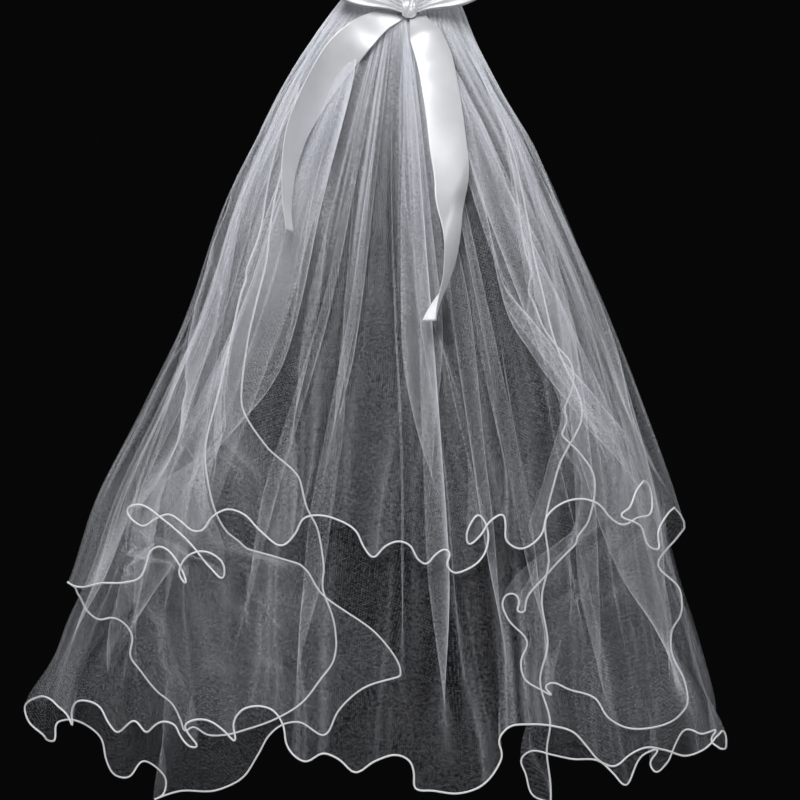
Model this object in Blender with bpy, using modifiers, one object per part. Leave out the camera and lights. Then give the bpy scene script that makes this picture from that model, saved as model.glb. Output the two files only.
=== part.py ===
"""Bridal veil: two tiers of tulle gathered on a hair comb, under a satin ribbon bow.

Metres, +Z up. The origin is the middle of the comb's spine, where the veil is held.
The back of the veil faces -Y, its open front faces +Y, and +X is the right seen from behind.
The tables are in millimetres and degrees.

Each tier is one sheet. A point of it lies on a level ring, an arc of an ellipse, at a share
of the way round from the middle of the back (0) to the front edges (about -1 and 1). Pleats
slide the cloth sideways over itself and lift it off the ring. The hem rises and dips.
"""

import math
from typing import NamedTuple

import bmesh
import bpy
import numpy as np
from mathutils import Matrix, Vector

MM = 0.001

TULLE_WALL = 1.2
SATIN_WALL = 1.0
CORD_RADIUS = 1.1
SEAM = 0.35
SHARPEST_CORNER = 0.4

TIER_COLUMNS = 108
TIER_ROWS = (0.0, 0.05, 0.12, 0.21, 0.32, 0.45, 0.59, 0.72, 0.83, 0.91, 0.96, 1.0)

COMB_RADIUS = 120.0
COMB_WIDTH = 106.0
COMB_THICK = 2.4
SPINE_HEIGHT = 7.0
TOOTH_LENGTH = 36.0
TOOTH_WIDTH = 1.8
TOOTH_TAPER = 0.4
TEETH = 21

RIBBON_WIDTH = 42.0


class Ring(NamedTuple):
    """A level section of the inner tier: half widths, depths and how far it wraps."""

    drop: float
    left: float
    right: float
    back: float
    side: float
    wrap: float
    gap: float


class Pleat(NamedTuple):
    """A fold running down the cloth: its place at the comb and at the hem, and its size."""

    top: float
    hem: float
    width: float
    fullness: float
    depth: float
    starts: float


class Hem(NamedTuple):
    """A high or low point of a hem: degrees round, drop below the comb, stand off the ring."""

    at: float
    drop: float
    stand: float


class Edge(NamedTuple):
    """How far round the ring a front edge lies at a drop, as a share of the wrap."""

    drop: float
    share: float


class Tier(NamedTuple):
    """One sheet of tulle."""

    name: str
    outer: float
    left: tuple
    right: tuple
    hem: tuple


class Section(NamedTuple):
    """A cross-section of a ribbon tail: its middle, its width and how far it is turned."""

    drop: float
    x: float
    width: float
    turn: float
    stand: float


# Level sections from the comb to the longest hem.
RINGS = (
    Ring(drop=-6, left=56, right=56, back=1.4, side=12, wrap=80, gap=3.6),
    Ring(drop=40, left=88, right=71, back=17, side=18, wrap=98, gap=5.5),
    Ring(drop=100, left=124, right=99, back=32, side=24, wrap=112, gap=8),
    Ring(drop=150, left=148, right=126, back=40, side=29, wrap=120, gap=9),
    Ring(drop=230, left=182, right=159, back=49, side=36, wrap=130, gap=14),
    Ring(drop=340, left=217, right=205, back=60, side=44, wrap=142, gap=17),
    Ring(drop=450, left=266, right=246, back=76, side=48, wrap=153, gap=18),
    Ring(drop=560, left=318, right=283, back=95, side=50, wrap=161, gap=20),
    Ring(drop=640, left=345, right=305, back=112, side=52, wrap=165, gap=19),
    Ring(drop=700, left=372, right=325, back=124, side=53, wrap=167, gap=18),
    Ring(drop=780, left=396, right=347, back=142, side=54, wrap=168, gap=17),
    Ring(drop=900, left=414, right=370, back=168, side=55, wrap=169, gap=17),
)

# Pleats, from the left front edge round the back to the right front edge. The two wide
# ones lie flat over themselves, and the others are open folds.
PLEATS = (
    Pleat(top=-0.88, hem=-0.88, width=0.09, fullness=0.2, depth=9.0, starts=130),
    Pleat(top=-0.72, hem=-0.73, width=0.07, fullness=0.25, depth=-10.0, starts=110),
    Pleat(top=-0.60, hem=-0.60, width=0.06, fullness=0.25, depth=8.0, starts=90),
    Pleat(top=-0.50, hem=-0.48, width=0.06, fullness=0.3, depth=-9.0, starts=60),
    Pleat(top=-0.31, hem=-0.30, width=0.12, fullness=0.64, depth=7.5, starts=110),
    Pleat(top=-0.14, hem=-0.12, width=0.06, fullness=0.3, depth=-8.0, starts=30),
    Pleat(top=-0.05, hem=-0.02, width=0.05, fullness=0.25, depth=7.0, starts=30),
    Pleat(top=0.04, hem=0.06, width=0.05, fullness=0.3, depth=8.0, starts=30),
    Pleat(top=0.14, hem=0.15, width=0.05, fullness=0.3, depth=-8.0, starts=30),
    Pleat(top=0.33, hem=0.33, width=0.12, fullness=0.70, depth=-7.25, starts=110),
    Pleat(top=0.50, hem=0.49, width=0.06, fullness=0.25, depth=8.0, starts=60),
    Pleat(top=0.61, hem=0.61, width=0.06, fullness=0.25, depth=-8.0, starts=90),
    Pleat(top=0.74, hem=0.74, width=0.07, fullness=0.25, depth=9.0, starts=110),
    Pleat(top=0.88, hem=0.88, width=0.07, fullness=0.2, depth=-9.0, starts=130),
)
PLEAT_GROWS_OVER = 200.0
PLEAT_SETTLES_AT = 560.0
HEM_CURL = 140.0
HEM_OPENS = 0.45
HEM_WRAP = 168.0
COLUMN_BASE = 0.5
COLUMN_PULL = 0.10
EDGE_SHIFT_FROM = 0.5
FOLDS_STAND = 8.0
VEIL_SLOPE = 0.25

UPPER = Tier(
    name="upper_tier",
    outer=1.0,
    left=(Edge(-6, -1.0), Edge(500, -0.99), Edge(700, -1.0)),
    right=(Edge(-6, 1.0), Edge(500, 0.99), Edge(700, 0.95)),
    hem=(
        Hem(-168, 712, 0),
        Hem(-161, 782, 6),
        Hem(-151, 803, -4),
        Hem(-146, 812, 8),
        Hem(-141, 806, -6),
        Hem(-136, 818, 8),
        Hem(-129, 756, -6),
        Hem(-121, 738, 8),
        Hem(-113, 690, -4),
        Hem(-104, 686, 7),
        Hem(-90, 645, -3),
        Hem(-78, 652, 6),
        Hem(-67, 604, -2),
        Hem(-59, 620, -3),
        Hem(-51, 573, 0),
        Hem(-43, 593, 4),
        Hem(-34, 566, 2),
        Hem(-24, 609, 9),
        Hem(-17, 572, -6),
        Hem(-6, 622, 9),
        Hem(-1, 600, -5),
        Hem(4, 630, 7),
        Hem(8, 608, -5),
        Hem(12, 636, 7),
        Hem(17, 574, -6),
        Hem(20, 602, 4),
        Hem(23, 572, -5),
        Hem(29, 608, 5),
        Hem(41, 556, 3),
        Hem(51, 586, 2),
        Hem(59, 546, -2),
        Hem(68, 570, -3),
        Hem(74, 554, -2),
        Hem(88, 584, 6),
        Hem(98, 600, -4),
        Hem(106, 668, 6),
        Hem(111, 700, -4),
        Hem(119, 802, 8),
        Hem(127, 790, -5),
        Hem(136, 806, 7),
        Hem(144, 772, -5),
        Hem(150, 776, 5),
        Hem(154, 742, 0),
        Hem(158, 684, 0),
    ),
)

LOWER = Tier(
    name="lower_tier",
    outer=0.0,
    left=(Edge(-6, -1.0), Edge(340, -0.93), Edge(590, -0.89), Edge(664, -0.98), Edge(750, -1.06)),
    right=(Edge(-6, 1.0), Edge(340, 0.97), Edge(600, 0.95), Edge(840, 0.94)),
    hem=(
        Hem(-178, 752, 0),
        Hem(-171, 778, 5),
        Hem(-168, 816, -4),
        Hem(-163, 803, 6),
        Hem(-154, 866, -6),
        Hem(-147, 878, 7),
        Hem(-140, 842, -6),
        Hem(-133, 858, 8),
        Hem(-126, 822, -6),
        Hem(-121, 806, 4),
        Hem(-115, 800, -6),
        Hem(-105, 814, 8),
        Hem(-92, 775, -2),
        Hem(-79, 803, 8),
        Hem(-62, 776, -2),
        Hem(-52, 802, -2),
        Hem(-44, 812, 0),
        Hem(-38, 816, 4),
        Hem(-32, 798, 3),
        Hem(-28, 808, 6),
        Hem(-23, 781, -7),
        Hem(-15, 844, 9),
        Hem(-11, 832, -5),
        Hem(-7, 859, 8),
        Hem(-1, 834, -6),
        Hem(3, 874, 8),
        Hem(7, 870, -5),
        Hem(12, 879, 8),
        Hem(19, 812, -7),
        Hem(24, 800, 3),
        Hem(33, 818, 3),
        Hem(41, 851, 3),
        Hem(50, 827, 1),
        Hem(62, 838, -2),
        Hem(76, 818, -3),
        Hem(92, 822, 7),
        Hem(106, 812, -6),
        Hem(118, 806, 6),
        Hem(127, 858, -4),
        Hem(133, 874, 8),
        Hem(143, 842, -6),
        Hem(151, 848, 6),
        Hem(159, 836, 0),
    ),
)

LEFT_TAIL = (
    Section(drop=31, x=-1, width=14, turn=0, stand=1.7),
    Section(drop=37, x=-22, width=28, turn=2, stand=3),
    Section(drop=49, x=-46, width=40, turn=8, stand=5),
    Section(drop=77, x=-72, width=42, turn=30, stand=10),
    Section(drop=119, x=-98, width=42, turn=50, stand=17),
    Section(drop=161, x=-116, width=42, turn=61, stand=20),
    Section(drop=204, x=-124, width=42, turn=71, stand=22),
    Section(drop=234, x=-125, width=42, turn=76, stand=22),
    Section(drop=264, x=-122, width=42, turn=78, stand=22),
)
RIGHT_TAIL = (
    Section(drop=31, x=17, width=16, turn=0, stand=1.7),
    Section(drop=48, x=25, width=34, turn=-3, stand=4),
    Section(drop=75, x=36, width=40, turn=-10, stand=7),
    Section(drop=124, x=44, width=42, turn=-16, stand=10),
    Section(drop=164, x=49, width=42, turn=-18, stand=9),
    Section(drop=204, x=54, width=42, turn=-28, stand=12),
    Section(drop=243, x=55, width=42, turn=-44, stand=17),
    Section(drop=282, x=54, width=42, turn=-63, stand=21),
    Section(drop=315, x=49, width=42, turn=-76, stand=23),
    Section(drop=337, x=42, width=42, turn=-79, stand=23),
    Section(drop=356, x=34, width=42, turn=-74, stand=23),
)

KNOT_X = 8.0
KNOT_DROP = 18.0
KNOT_WIDTH = 22.0
KNOT_HEIGHT = 26.0
KNOT_DEPTH = 21.0
KNOT_SET_IN = 0.3
LOOP_START = 8.2
LOOP_REACH = 74.0
LOOP_RISE = 27.0
LOOP_DEPTH = 9.5
LOOP_STAND = 13.5
LOOP_PINCH = 17.0


def smooth(rows, column, at):
    """Values of one column of a table at the given values of its first column.

    The curve passes through each row and never overshoots, so a row that is higher or
    lower than both its neighbours is a true crest or trough.
    """
    knots = np.array([row[0] for row in rows], float)
    values = np.array([getattr(row, column) for row in rows], float)
    gaps = np.diff(knots)
    slopes = np.diff(values) / gaps
    before, after = slopes[:-1], slopes[1:]
    same = before * after > 0
    total = np.where(same, before + after, 1.0)
    inner = np.where(same, 2 * before * after / total, 0.0)
    tangents = np.concatenate((slopes[:1], inner, slopes[-1:]))
    at = np.clip(at, knots[0], knots[-1])
    i = np.clip(np.searchsorted(knots, at, side="right") - 1, 0, len(gaps) - 1)
    t = (at - knots[i]) / gaps[i]
    return (
        values[i] * (1 + 2 * t) * (1 - t) ** 2
        + values[i + 1] * t**2 * (3 - 2 * t)
        + gaps[i] * t * (1 - t) * (tangents[i] * (1 - t) - tangents[i + 1] * t)
    )


def ease(t):
    """0 to 1 with soft ends."""
    t = np.clip(t, 0.0, 1.0)
    return t * t * (3 - 2 * t)


def pleats(share, drop):
    """How far the pleats slide the cloth round, as a share, and lift it, in millimetres."""
    slide = np.zeros_like(share)
    lift = np.zeros_like(share)
    for pleat in PLEATS:
        grown = ease((drop - pleat.starts) / PLEAT_GROWS_OVER)
        settled = ease(drop / PLEAT_SETTLES_AT)
        centre = pleat.top + (pleat.hem - pleat.top) * settled
        x = np.clip((share - centre) / pleat.width, -1.0, 1.0)
        wave = np.sin(math.pi * x) * np.cos(math.pi * x / 2) ** 2
        slide += grown * pleat.fullness * pleat.width * wave
        lift += grown * pleat.depth * wave * 1.5
    return slide, lift


def on_ring(share, drop, outward):
    """Points at a share of the way round, a drop below the comb and a distance off the ring."""
    angle = np.radians(share * smooth(RINGS, "wrap", drop))
    half = np.where(
        angle < 0, smooth(RINGS, "left", drop), smooth(RINGS, "right", drop)
    )
    side = smooth(RINGS, "side", drop)
    deep = side + smooth(RINGS, "back", drop)
    x, y = half * np.sin(angle), side - deep * np.cos(angle)
    nx, ny = np.sin(angle) / half, -np.cos(angle) / deep
    length = np.hypot(nx, ny)
    points = (x + outward * nx / length, y + outward * ny / length, -drop)
    return np.stack(np.broadcast_arrays(*points), axis=-1)


def column_shares():
    """Shares of the way round for the columns, closer together where the pleats are."""
    share = np.linspace(-1.0, 1.0, 2001)
    density = np.full_like(share, COLUMN_BASE)
    for pleat in PLEATS:
        near = np.abs(share - pleat.hem) < pleat.width
        density += np.where(near, COLUMN_PULL * pleat.fullness**2 / pleat.width, 0.0)
    total = np.concatenate(([0.0], np.cumsum((density[1:] + density[:-1]) / 2)))
    wanted = np.linspace(0.0, total[-1], TIER_COLUMNS + 1)
    return np.interp(wanted, total, share)


def fit_edges(share, first, last):
    """Moves the outer halves of the shares so that they end at the front edges."""
    left = ease((-share - EDGE_SHIFT_FROM) / (1 - EDGE_SHIFT_FROM))
    right = ease((share - EDGE_SHIFT_FROM) / (1 - EDGE_SHIFT_FROM))
    return share + (first + 1) * left + (last - 1) * right


def tier_grid(tier):
    """Points of a tier's sheet in millimetres: a row for each level, a column across."""
    column = column_shares()[None, :]
    down = np.array(TIER_ROWS)[:, None]
    at = HEM_WRAP * fit_edges(column, tier.left[-1].share, tier.right[-1].share)
    hem = smooth(tier.hem, "drop", at)
    top = RINGS[0].drop
    drop = top + (hem - top) * down
    share = fit_edges(column, smooth(tier.left, "share", drop), smooth(tier.right, "share", drop))
    slide, lift = pleats(share, drop)
    curl = ease(1 - (hem - drop) / HEM_CURL)
    slide = slide * (1 - HEM_OPENS * curl)
    outward = tier.outer * smooth(RINGS, "gap", drop) + lift
    outward = outward + curl * smooth(tier.hem, "stand", at)
    return on_ring(share - slide, drop, outward)


def veil_back(drop, x=0.0):
    """The y of the upper tier's outer face where its folds stand out, at a drop and an x."""
    half = smooth(RINGS, "left" if x < 0 else "right", drop)
    share = math.degrees(math.asin(min(1.0, abs(x) / half))) / smooth(RINGS, "wrap", drop)
    folds = FOLDS_STAND * ease((drop - KNOT_DROP) / PLEAT_GROWS_OVER)
    outward = smooth(RINGS, "gap", drop) + TULLE_WALL / 2 + folds
    point = on_ring(np.array(math.copysign(share, x)), np.array(float(drop)), outward)
    return point[1]


def material(name, colour, roughness, metallic=0.0, alpha=1.0):
    """A plain Principled material."""
    made = bpy.data.materials.new(name)
    made.use_nodes = True
    shader = made.node_tree.nodes["Principled BSDF"]
    shader.inputs["Base Color"].default_value = (*colour, 1.0)
    shader.inputs["Roughness"].default_value = roughness
    shader.inputs["Metallic"].default_value = metallic
    shader.inputs["Alpha"].default_value = alpha
    return made


def add_object(name, data, finish, parts, parent):
    """Links a new object, under the veil's origin, with its material."""
    made = bpy.data.objects.new(name, data)
    parts.objects.link(made)
    made.parent = parent
    if not data.materials:
        data.materials.append(finish)
    return made


def sheet_mesh(name, grid):
    """An open mesh of quads through a grid of points in millimetres."""
    rows, columns = grid.shape[:2]
    sheet = bmesh.new()
    verts = [sheet.verts.new(point * MM) for point in grid.reshape(-1, 3)]
    for i in range(rows - 1):
        for j in range(columns - 1):
            a = i * columns + j
            corners = (a, a + columns, a + columns + 1, a + 1)
            sheet.faces.new([verts[k] for k in corners])
    mesh = bpy.data.meshes.new(name)
    sheet.to_mesh(mesh)
    sheet.free()
    mesh.shade_smooth()
    return mesh


def thicken(obj, wall):
    """Gives an open sheet its wall, half on each side."""
    solid = obj.modifiers.new("Wall", "SOLIDIFY")
    solid.thickness = wall * MM
    solid.offset = 0.0


def edge_route(grid, reach):
    """The route of a cord just outside a sheet's free edges: down, along the hem and up."""
    left, right = grid[1:, 0], grid[1:, -1][::-1]
    hem = grid[-1, 1:-1]
    points = np.concatenate((left, hem, right))
    inner = np.concatenate((grid[1:, 1], grid[-2, 1:-1], grid[1:, -2][::-1]))
    rows, columns = len(left), len(hem)
    outward = points - inner
    outward[rows - 1] += grid[-1, 0] - grid[-2, 0]
    outward[rows + columns] += grid[-1, -1] - grid[-2, -1]
    steps = np.diff(points, axis=0)
    steps /= np.linalg.norm(steps, axis=1, keepdims=True)
    before, after = np.vstack((steps[:1], steps)), np.vstack((steps, steps[-1:]))
    along = before + after
    half_turn = np.linalg.norm(along, axis=1, keepdims=True) / 2
    along /= np.linalg.norm(along, axis=1, keepdims=True)
    outward -= along * np.sum(outward * along, axis=1, keepdims=True)
    outward /= np.linalg.norm(outward, axis=1, keepdims=True)
    return points + outward * reach / np.maximum(half_turn, SHARPEST_CORNER)


def add_cord(name, route, finish, parts, parent):
    """A round cord along a route in millimetres."""
    curve = bpy.data.curves.new(name, "CURVE")
    curve.dimensions = "3D"
    curve.bevel_depth = CORD_RADIUS * MM
    curve.bevel_resolution = 1
    curve.use_fill_caps = True
    spline = curve.splines.new("POLY")
    spline.points.add(len(route) - 1)
    for point, place in zip(spline.points, route, strict=True):
        point.co = (*(place * MM), 1.0)
    return add_object(name, curve, finish, parts, parent)


def add_tier(tier, tulle, cord, parts, parent):
    """A tier's sheet and the cord that is sewn along its front edges and its hem."""
    grid = tier_grid(tier)
    sheet = add_object(tier.name, sheet_mesh(tier.name, grid), tulle, parts, parent)
    thicken(sheet, TULLE_WALL)
    route = edge_route(grid, CORD_RADIUS + SEAM)
    add_cord(f"{tier.name}_cord", route, cord, parts, parent)


def comb_mesh():
    """The comb's middle surface: the spine and its teeth, bent to the head's curve."""
    pitch = (COMB_WIDTH - TOOTH_WIDTH) / (TEETH - 1)
    lefts = [-COMB_WIDTH / 2 + pitch * k for k in range(TEETH)]
    columns = [x for left in lefts for x in (left, left + TOOTH_WIDTH)]
    top, root = SPINE_HEIGHT / 2, -SPINE_HEIGHT / 2
    tip = root - TOOTH_LENGTH
    comb = bmesh.new()

    def point(x, z):
        return comb.verts.new(Vector((x, x * x / (2 * COMB_RADIUS), z)) * MM)

    upper = [point(x, top) for x in columns]
    lower = [point(x, root) for x in columns]
    for k in range(len(columns) - 1):
        comb.faces.new((upper[k], lower[k], lower[k + 1], upper[k + 1]))
    for k in range(0, len(columns), 2):
        tips = point(columns[k] + TOOTH_TAPER, tip), point(columns[k + 1] - TOOTH_TAPER, tip)
        comb.faces.new((lower[k], *tips, lower[k + 1]))
    mesh = bpy.data.meshes.new("comb")
    comb.to_mesh(mesh)
    comb.free()
    return mesh


def ribbon_grid(sections, steps=18, across=4):
    """Points of a ribbon tail hanging behind the veil, turned as its sections say."""
    drops = np.linspace(sections[0].drop, sections[-1].drop, steps + 1)
    x, width, turn, stand = (
        smooth(sections, column, drops) for column in ("x", "width", "turn", "stand")
    )
    y = np.array([veil_back(d, px) for d, px in zip(drops, x, strict=True)]) - stand
    middle = np.stack((x, y, -drops), axis=-1)
    along = np.gradient(middle, axis=0)
    grid = []
    for place, way, wide, angle in zip(middle, along, width, turn, strict=True):
        way = Vector(way).normalized()
        flat = Vector((0, -1, VEIL_SLOPE)).cross(way).normalized()
        edge = Matrix.Rotation(math.radians(angle), 3, way) @ flat
        spread = np.linspace(-wide / 2, wide / 2, across + 1)
        grid.append([place + np.array(edge) * s for s in spread])
    return np.array(grid)


def loop_grid(side, steps=20, across=4):
    """Points of one bow loop: out from the knot along the back, round and in again."""
    turns = np.linspace(0.045, 0.955, steps + 1)[:, None] * 2 * math.pi
    out = (1 - np.cos(turns)) / 2
    full = ease(out / 0.55)
    half = (LOOP_PINCH + (RIBBON_WIDTH - LOOP_PINCH) * full) / 2
    height = np.linspace(-1.0, 1.0, across + 1)[None, :]
    x = KNOT_X + side * (LOOP_START + LOOP_REACH * out + 0 * height)
    z = -KNOT_DROP + LOOP_RISE * out + half * height
    middle = veil_back(KNOT_DROP, KNOT_X) - LOOP_STAND
    y = middle - LOOP_DEPTH * np.sin(turns) * (0.4 + 0.6 * np.sqrt(out)) + 0 * height
    return np.stack(np.broadcast_arrays(x, y, z), axis=-1)


def add_knot(finish, parts, parent):
    """The soft band of ribbon round the middle of the bow."""
    cage = bmesh.new()
    bmesh.ops.create_cube(cage, size=1.0)
    size = Vector((KNOT_WIDTH, KNOT_DEPTH, KNOT_HEIGHT)) * MM
    bmesh.ops.scale(cage, verts=cage.verts, vec=size)
    mesh = bpy.data.meshes.new("bow_knot")
    cage.to_mesh(mesh)
    cage.free()
    mesh.shade_smooth()
    knot = add_object("bow_knot", mesh, finish, parts, parent)
    y = veil_back(KNOT_DROP, KNOT_X) - KNOT_DEPTH / 2 + KNOT_SET_IN
    knot.location = Vector((KNOT_X, y, -KNOT_DROP)) * MM
    soft = knot.modifiers.new("Soft", "SUBSURF")
    soft.levels = 2
    soft.render_levels = 2


def main():
    """Builds the veil in its own collection."""
    for obj in list(bpy.data.objects):
        bpy.data.objects.remove(obj)
    parts = bpy.data.collections.new("bridal_veil")
    bpy.context.scene.collection.children.link(parts)
    origin = bpy.data.objects.new("veil_origin", None)
    parts.objects.link(origin)

    tulle = material("tulle", (0.82, 0.83, 0.87), 0.6, alpha=0.45)
    cord = material("edge_cord", (0.93, 0.93, 0.95), 0.35)
    satin = material("satin", (0.90, 0.90, 0.91), 0.28)
    clear = material("comb", (0.80, 0.81, 0.83), 0.25)

    for tier in (LOWER, UPPER):
        add_tier(tier, tulle, cord, parts, origin)
    thicken(add_object("comb", comb_mesh(), clear, parts, origin), COMB_THICK)
    add_knot(satin, parts, origin)
    pieces = {
        "bow_loop_left": loop_grid(-1),
        "bow_loop_right": loop_grid(1),
        "ribbon_tail_left": ribbon_grid(LEFT_TAIL),
        "ribbon_tail_right": ribbon_grid(RIGHT_TAIL),
    }
    for name, grid in pieces.items():
        thicken(add_object(name, sheet_mesh(name, grid), satin, parts, origin), SATIN_WALL)


main()
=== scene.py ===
"""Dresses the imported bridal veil: two corded tulle tiers, a satin bow and the comb.

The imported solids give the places. Each tier is a fine sheet of net, gathered at the comb,
with its folds, its wavy hem and the cord round its edge. The hem tables are in pixels of the
photograph, because the hems are what it shows best, and PhotoView turns them into places.
"""

import logging
import math
from dataclasses import dataclass
from enum import Enum
from typing import Any, NamedTuple

import bpy
import numpy as np
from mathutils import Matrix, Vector


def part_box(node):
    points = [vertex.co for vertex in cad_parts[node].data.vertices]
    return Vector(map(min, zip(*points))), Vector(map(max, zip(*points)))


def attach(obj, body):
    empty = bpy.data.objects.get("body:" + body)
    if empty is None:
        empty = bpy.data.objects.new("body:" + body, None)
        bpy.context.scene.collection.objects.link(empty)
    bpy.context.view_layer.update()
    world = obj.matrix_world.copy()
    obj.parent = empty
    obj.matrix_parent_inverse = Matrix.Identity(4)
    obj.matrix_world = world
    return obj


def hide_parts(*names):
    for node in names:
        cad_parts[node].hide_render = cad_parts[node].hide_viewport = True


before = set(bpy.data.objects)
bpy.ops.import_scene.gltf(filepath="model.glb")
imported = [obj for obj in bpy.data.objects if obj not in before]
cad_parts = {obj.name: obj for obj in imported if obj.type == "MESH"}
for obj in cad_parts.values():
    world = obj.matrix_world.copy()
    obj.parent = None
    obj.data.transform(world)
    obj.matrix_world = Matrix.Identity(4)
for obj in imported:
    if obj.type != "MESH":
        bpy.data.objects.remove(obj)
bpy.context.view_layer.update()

LOG = logging.getLogger("bridal_veil")
MM = 0.001
BODY = "root"


class Ring(NamedTuple):
    """A level section of the inner tier, in millimetres and degrees."""

    drop: float
    left: float
    right: float
    back: float
    side: float
    wrap: float
    gap: float


class Side(Enum):
    """Which part of the ring a pixel shows: the near back, or the far front edges."""

    NEAR = 0.0
    LEFT_FAR = -180.0
    RIGHT_FAR = 180.0


class Run:
    """Pixels of the photograph along a hem or an edge, all on one side of the veil."""

    def __init__(self, side: Side, *rows: tuple[tuple[int, int], ...]) -> None:
        """Keeps the side and joins the rows of pixels."""
        self.side = side
        self.pixels = [pixel for row in rows for pixel in row]


class Pleat(NamedTuple):
    """A flat fold: its place at the comb and at the hem, its size and where it begins."""

    top: float
    hem: float
    width: float
    fullness: float
    depth: float
    starts: float


class Edge(NamedTuple):
    """How far round the ring a front edge lies at a drop, as a share of the wrap."""

    drop: float
    share: float


class Section(NamedTuple):
    """A cross-section of a ribbon tail: its middle, width, turn, stand and cupping."""

    drop: float
    x: float
    width: float
    turn: float
    stand: float
    cup: float


def linked(name: str, data: Any) -> bpy.types.Object:
    """Makes an object of a mesh, light or camera, in the scene."""
    made = bpy.data.objects.new(name, data)
    bpy.context.scene.collection.objects.link(made)
    return made


def path_lengths(places: np.ndarray) -> np.ndarray:
    """The length along a path up to each of its places."""
    return np.concatenate(([0.0], np.cumsum(np.linalg.norm(np.diff(places, axis=0), axis=1))))


def columns_at(at: np.ndarray, knots: np.ndarray, rows: np.ndarray) -> np.ndarray:
    """Reads each column of rows, which lie at knots, at other places."""
    return np.stack([np.interp(at, knots, column) for column in rows.T], axis=1)


def named_rows(kind: Any, *rows: tuple[float, ...]) -> tuple[Any, ...]:
    """Makes a table whose rows have the kind's named columns, in the kind's order."""
    return tuple(kind(*row) for row in rows)


def hermite(knots: np.ndarray, values: np.ndarray, tangents: np.ndarray, at: Any) -> np.ndarray:
    """Reads the smooth curve through values at knots that has these slopes there."""
    gaps = np.diff(knots)
    i = np.clip(np.searchsorted(knots, at, side="right") - 1, 0, len(gaps) - 1)
    t = (at - knots[i]) / gaps[i]
    return (
        values[i] * (1 + 2 * t) * (1 - t) ** 2
        + values[i + 1] * t**2 * (3 - 2 * t)
        + gaps[i] * t * (1 - t) * (tangents[i] * (1 - t) - tangents[i + 1] * t)
    )


def smooth(rows: tuple, column: str, at: np.ndarray | float) -> np.ndarray:
    """Reads a table between its rows, without overshooting them.

    Args:
        rows: The table, sorted by its first column.
        column: The column to read.
        at: Values of the first column.

    Returns:
        The column's value at each of those places.
    """
    knots = np.array([row[0] for row in rows], float)
    values = np.array([getattr(row, column) for row in rows], float)
    slopes = np.diff(values) / np.diff(knots)
    before, after = slopes[:-1], slopes[1:]
    same = before * after > 0
    total = np.where(same, before + after, 1.0)
    inner = np.where(same, 2 * before * after / total, 0.0)
    tangents = np.concatenate((slopes[:1], inner, slopes[-1:]))
    return hermite(knots, values, tangents, np.clip(at, knots[0], knots[-1]))


def rounded(knots: np.ndarray, values: np.ndarray, at: np.ndarray) -> np.ndarray:
    """A rounded curve through points, for paths that turn back on themselves.

    Args:
        knots: The length along the path at each point.
        values: One row of numbers for each point.
        at: The lengths to read.

    Returns:
        One row for each of those lengths.
    """
    gaps = np.diff(knots)[:, None]
    slopes = np.diff(values, axis=0) / gaps
    inner = (slopes[:-1] * gaps[1:] + slopes[1:] * gaps[:-1]) / (gaps[:-1] + gaps[1:])
    tangents = np.concatenate((slopes[:1], inner, slopes[-1:]))
    columns = zip(values.T, tangents.T, strict=True)
    return np.stack([hermite(knots, *column, at) for column in columns], axis=1)


def ease(t: np.ndarray | float) -> np.ndarray:
    """0 to 1 with soft ends."""
    t = np.clip(t, 0.0, 1.0)
    return t * t * (3 - 2 * t)


def blurred(values: np.ndarray, radius: float) -> np.ndarray:
    """Smooths a row of evenly spaced values, whose ends stay where they are.

    Args:
        values: The values.
        radius: The blur's radius, in samples.

    Returns:
        The smoothed values.
    """
    reach = int(radius * 3)
    kernel = np.exp(-0.5 * (np.arange(-reach, reach + 1) / radius) ** 2)
    kernel /= kernel.sum()
    before = 2 * values[0] - values[reach:0:-1]
    after = 2 * values[-1] - values[-2 : -reach - 2 : -1]
    return np.convolve(np.concatenate((before, values, after)), kernel, mode="valid")


def ripples(at: np.ndarray, waves: tuple[float, ...], seed: int) -> np.ndarray:
    """A sum of sines with fixed random phases, between about -1 and 1.

    Args:
        at: Where to read it.
        waves: The number of waves of each sine over a length of 1.
        seed: Picks the phases.

    Returns:
        The sum at each place.
    """
    phases = np.random.default_rng(seed).uniform(0, 2 * math.pi, len(waves))
    total = sum(np.sin(2 * math.pi * n * at + p) for n, p in zip(waves, phases, strict=True))
    return total / math.sqrt(len(waves))


@dataclass(frozen=True)
class PhotoView:
    """The camera's place, and what a pixel of the photograph shows."""

    distance: float = 4000.0
    mm_per_pixel: float = 1.1
    middle_x: float = -2.2
    middle_z: float = -446.6
    pixels: int = 800

    def place(self, x: float, y: float, depth: float) -> tuple[float, float]:
        """Turns a pixel into a place.

        Args:
            x: Pixels from the photograph's left edge.
            y: Pixels from its top edge.
            depth: How far behind the comb the place lies, in millimetres.

        Returns:
            The place's x and its drop below the comb, in millimetres.
        """
        scale = self.mm_per_pixel * (1 + depth / self.distance)
        half = self.pixels / 2
        return self.middle_x + (x - half) * scale, (y - half) * scale - self.middle_z

    def build(self) -> None:
        """Adds the camera, level and square to the veil's back."""
        data = bpy.data.cameras.new("camera")
        data.sensor_width = 36.0
        data.lens = 36.0 * self.distance / (self.mm_per_pixel * self.pixels)
        data.clip_end = 50.0
        camera = linked("camera", data)
        camera.location = Vector((self.middle_x, -self.distance, self.middle_z)) * MM
        camera.rotation_euler = (math.radians(90), 0, 0)
        bpy.context.scene.camera = camera


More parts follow.
